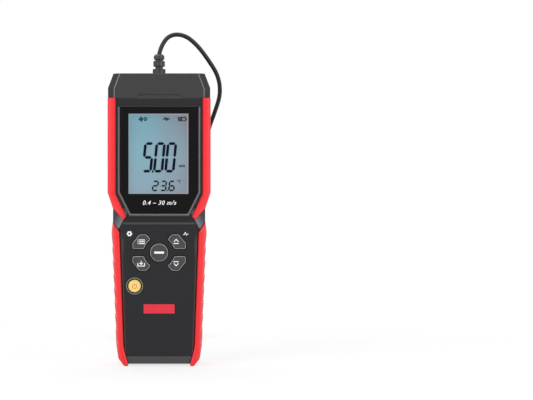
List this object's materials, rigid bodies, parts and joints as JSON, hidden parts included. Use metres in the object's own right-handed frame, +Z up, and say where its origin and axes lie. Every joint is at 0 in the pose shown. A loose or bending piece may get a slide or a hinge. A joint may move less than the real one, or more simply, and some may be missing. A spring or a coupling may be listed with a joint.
{
  "type": "handheld weather meter",
  "caption": "Handheld weather meter with a large display, red side grips and keys, and a vane probe on a thin coiled cable.",
  "frame": {"origin": "centre of the floor under the meter's two feet, in the plane where the front and rear shells meet", "axes": "+Z up along the upright meter, the display faces -Y, +X to the right as seen from the front; the probe lies behind it along +Y"},
  "size_m": [0.0835, 0.2786, 0.2413],
  "materials": {
    "case_black": "fine moulded texture, satin black",
    "cap_charcoal": "fine moulded texture, charcoal",
    "grip_red": "soft overmoulded grip, satin",
    "lens_black": "hard-coated acrylic, gloss, printed black behind with a clear window",
    "bezel_grey": "light grey bevelled trim",
    "foam_black": "closed-cell foam and silicone",
    "lcd_glass": "liquid crystal cell with a grey-green tint",
    "light_guide": "backlight guide, pale blue",
    "white_plastic": "white moulded frame",
    "circuit_green": "solder-masked glass epoxy",
    "chip_black": "moulded component bodies",
    "steel": "plated steel",
    "key_grey": "grey silicone keys",
    "power_yellow": "amber yellow silicone key",
    "badge_red": "plain red plate",
    "cell_wrap": "plain printed cell jacket",
    "insert_brass": "turned brass",
    "cable_rubber": "soft black cable sheath and strain relief",
    "impeller_white": "thin moulded impeller"
  },
  "bodies": {
    "meter": {"badge_plate": "badge_red", "battery_cells": "cell_wrap", "battery_contacts": "steel", "battery_springs": "steel", "bearings": "insert_brass", "board_parts": "chip_black", "board_screws": "steel", "buzzer": "chip_black", "cable_boot": "cable_rubber", "cable_coil": "cable_rubber", "case_screws": "steel", "display_bezel": "bezel_grey", "display_lens": "lens_black", "dome_switches": "steel", "front_case": "case_black", "front_guard": "case_black", "impeller_shaft": "steel", "key_membrane": "key_grey", "lcd_backlight": "light_guide", "lcd_frame": "white_plastic", "lcd_glass": "lcd_glass", "left_lower_grip": "grip_red", "left_upper_grip": "grip_red", "lens_gasket": "foam_black", "main_board": "circuit_green", "pickup_sensor": "chip_black", "power_key_ring": "case_black", "probe_boot": "cable_rubber", "probe_lead": "cable_rubber", "probe_screws": "steel", "probe_shell_lower": "cap_charcoal", "probe_shell_upper": "cap_charcoal", "rear_case": "case_black", "rear_guard": "case_black", "right_lower_grip": "grip_red", "right_upper_grip": "grip_red", "sensor_cable": "cable_rubber", "temperature_bead": "steel", "top_cap": "cap_charcoal", "tripod_insert": "insert_brass", "vane_ring": "case_black", "zebra_strip": "foam_black"},
    "mode_key_body": {"mode_key": "key_grey"},
    "max_min_key_body": {"max_min_key": "key_grey"},
    "store_key_body": {"store_key": "key_grey"},
    "unit_key_body": {"unit_key": "key_grey"},
    "centre_key_body": {"centre_key": "key_grey"},
    "power_key_body": {"power_key": "power_yellow"},
    "battery_door_body": {"battery_door": "case_black", "door_screw": "steel"},
    "impeller_body": {"impeller": "impeller_white"}
  },
  "joints": [
    {"name": "mode_key_press", "type": "slide", "parent": "meter", "child": "mode_key_body", "axis": [0, 1, 0], "range_m": [0, 0.001], "stiffness_N_per_m": 400, "springref_m": -0.0005},
    {"name": "max_min_key_press", "type": "slide", "parent": "meter", "child": "max_min_key_body", "axis": [0, 1, 0], "range_m": [0, 0.001], "stiffness_N_per_m": 400, "springref_m": -0.0005},
    {"name": "store_key_press", "type": "slide", "parent": "meter", "child": "store_key_body", "axis": [0, 1, 0], "range_m": [0, 0.001], "stiffness_N_per_m": 400, "springref_m": -0.0005},
    {"name": "unit_key_press", "type": "slide", "parent": "meter", "child": "unit_key_body", "axis": [0, 1, 0], "range_m": [0, 0.001], "stiffness_N_per_m": 400, "springref_m": -0.0005},
    {"name": "centre_key_press", "type": "slide", "parent": "meter", "child": "centre_key_body", "axis": [0, 1, 0], "range_m": [0, 0.001], "stiffness_N_per_m": 400, "springref_m": -0.0005},
    {"name": "power_key_press", "type": "slide", "parent": "meter", "child": "power_key_body", "axis": [0, 1, 0], "range_m": [0, 0.001], "stiffness_N_per_m": 400, "springref_m": -0.0005},
    {"name": "battery_door_hinge", "type": "hinge", "parent": "meter", "child": "battery_door_body", "pos_m": [0, 0.0156, 0.0794], "axis": [1, 0, 0], "range_deg": [0, 60]},
    {"name": "impeller_spin", "type": "hinge", "parent": "meter", "child": "impeller_body", "pos_m": [0, 0.228, 0.013], "axis": [0, 0, 1], "continuous": true}
  ]
}
